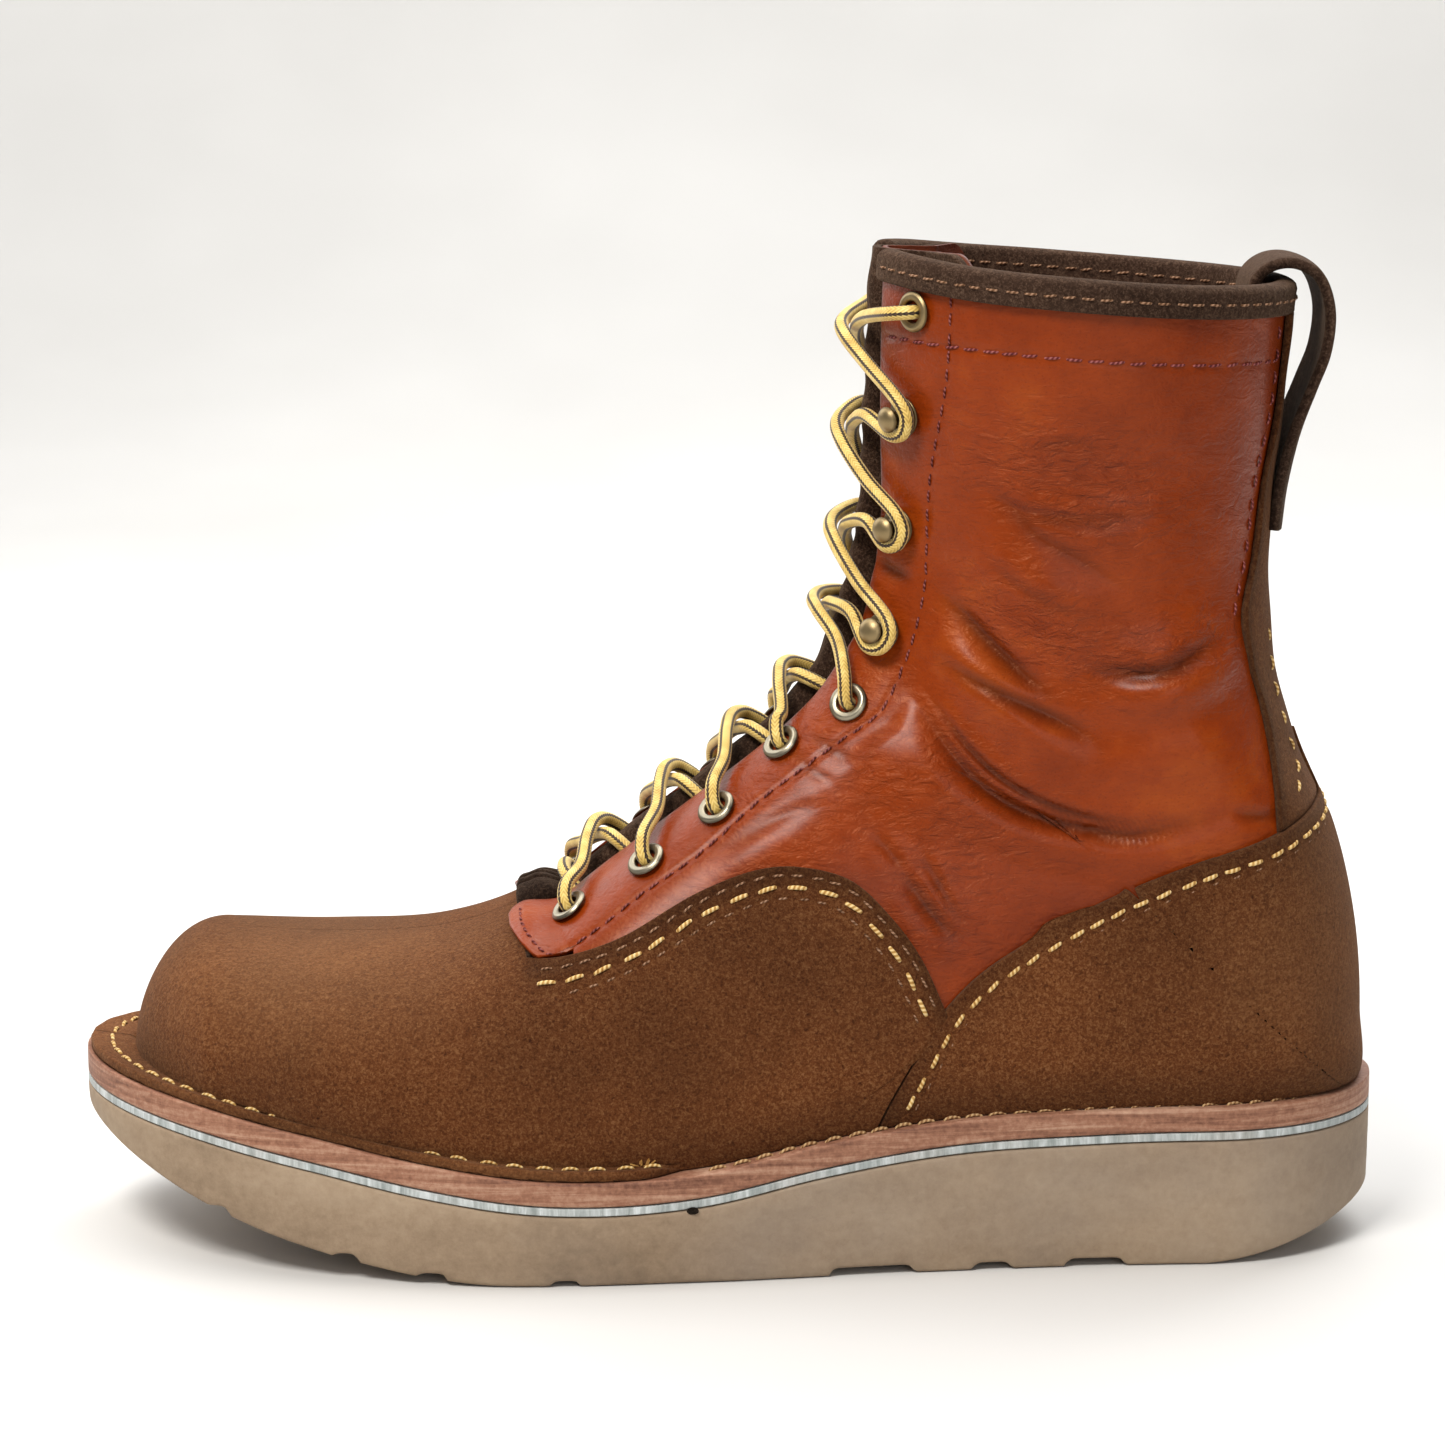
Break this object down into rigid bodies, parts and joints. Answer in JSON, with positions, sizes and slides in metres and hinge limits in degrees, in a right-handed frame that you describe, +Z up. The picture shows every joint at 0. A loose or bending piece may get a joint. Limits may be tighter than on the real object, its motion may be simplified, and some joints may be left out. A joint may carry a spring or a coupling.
{
  "type": "lace-up leather work boot",
  "caption": "Lace-to-toe leather work boot with a smooth shaft, roughout vamp and heel cover, speed hooks, pull loop and a crepe wedge sole.",
  "frame": {"origin": "on the ground under the middle of the boot's box", "axes": "+X towards the heel, -Y the outer side of the foot, +Z up"},
  "size_m": [0.312, 0.113, 0.238],
  "materials": {
    "crepe": "beige crepe rubber with fine pores",
    "bumper_rubber": "thin pale grey rubber sheet",
    "midsole_leather": "burnished reddish-tan leather edge",
    "cork": "ground cork filler",
    "shank_steel": "plain spring steel",
    "insole_leather": "vegetable-tanned leather",
    "brown_roughout": "brown roughout with dusty lighter patches",
    "dark_roughout": "dark brown roughout",
    "redwood_leather": "smooth red-brown oiled leather with a soft sheen",
    "lining_leather": "natural lining leather",
    "stiffener": "pressed leather board",
    "nickel": "aged nickel",
    "antique_brass": "dark antique brass",
    "lace": "yellow round lace with a dark stripe"
  },
  "bodies": {
    "boot": {"outsole_crepe_wedge": "crepe", "rubber_bumper_layer": "bumper_rubber", "midsole_leather": "midsole_leather", "cork_filler": "cork", "steel_shank": "shank_steel", "insole": "insole_leather", "vamp": "brown_roughout", "toe_puff": "stiffener", "vamp_lining": "lining_leather", "quarter_lateral": "redwood_leather", "quarter_medial": "redwood_leather", "facing_stay_lateral": "lining_leather", "facing_stay_medial": "lining_leather", "counter_cover": "brown_roughout", "heel_stiffener": "stiffener", "backstay": "brown_roughout", "top_binding": "dark_roughout", "pull_loop": "dark_roughout", "eyelet_lateral_1": "nickel", "eyelet_lateral_2": "nickel", "eyelet_lateral_3": "nickel", "eyelet_lateral_4": "nickel", "eyelet_lateral_5": "nickel", "eyelet_lateral_9": "antique_brass", "speed_hook_lateral_6": "antique_brass", "speed_hook_lateral_7": "antique_brass", "speed_hook_lateral_8": "antique_brass", "eyelet_medial_1": "nickel", "eyelet_medial_2": "nickel", "eyelet_medial_3": "nickel", "eyelet_medial_4": "nickel", "eyelet_medial_5": "nickel", "eyelet_medial_9": "antique_brass", "speed_hook_medial_6": "antique_brass", "speed_hook_medial_7": "antique_brass", "speed_hook_medial_8": "antique_brass", "lace": "lace", "lace_tail_lateral": "lace", "aglet_lateral": "antique_brass", "lace_tail_medial": "lace", "aglet_medial": "antique_brass"},
    "tongue": {"tongue": "dark_roughout", "tongue_lining": "redwood_leather"}
  },
  "joints": [
    {"name": "tongue_swing", "type": "hinge", "parent": "boot", "child": "tongue", "pos_m": [-0.049, 0, 0.077], "axis": [0, 1, 0], "range_deg": [0, 10], "stiffness_Nm_per_rad": 0.2}
  ]
}
